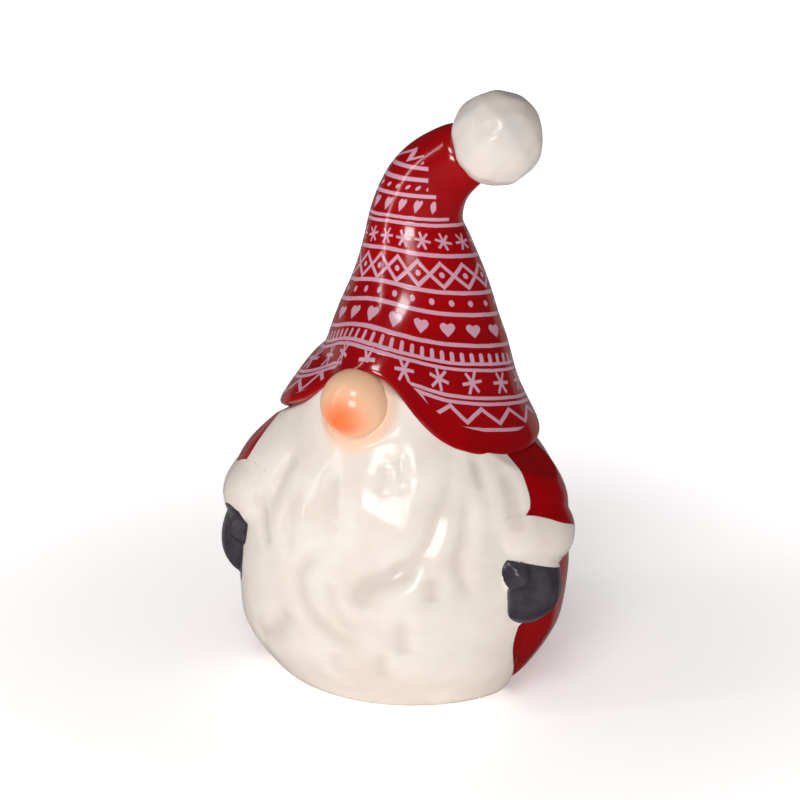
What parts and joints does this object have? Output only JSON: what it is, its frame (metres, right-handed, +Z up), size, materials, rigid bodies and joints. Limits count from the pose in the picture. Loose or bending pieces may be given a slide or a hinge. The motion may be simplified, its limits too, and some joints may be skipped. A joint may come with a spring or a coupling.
{
  "type": "gnome figurine",
  "caption": "Free-standing glazed ceramic gnome with a round coat, a full wavy beard, a ball nose, mittened hands and a tall pointed hat curling over to a pompom.",
  "frame": {"origin": "middle of the bounding box at the table, under the figurine", "axes": "+Z up, the gnome looks along -Y, its left hand and the hat's pompom are on the +X side"},
  "size_m": [0.0984, 0.0842, 0.1605],
  "materials": {
    "coat_red": "gloss",
    "hat_red": "gloss",
    "beard_white": "gloss",
    "pompom_white": "gloss",
    "nose_skin": "gloss",
    "mitten_grey": "gloss",
    "bare_clay": "matte"
  },
  "bodies": {
    "root": {"coat": "coat_red", "foot_plate": "bare_clay", "hat": "hat_red", "pompom": "pompom_white", "nose": "nose_skin", "beard": "beard_white", "sleeve_left": "coat_red", "cuff_left": "beard_white", "mitten_left": "mitten_grey", "thumb_left": "mitten_grey", "sleeve_right": "coat_red", "cuff_right": "beard_white", "mitten_right": "mitten_grey", "thumb_right": "mitten_grey"}
  },
  "joints": []
}
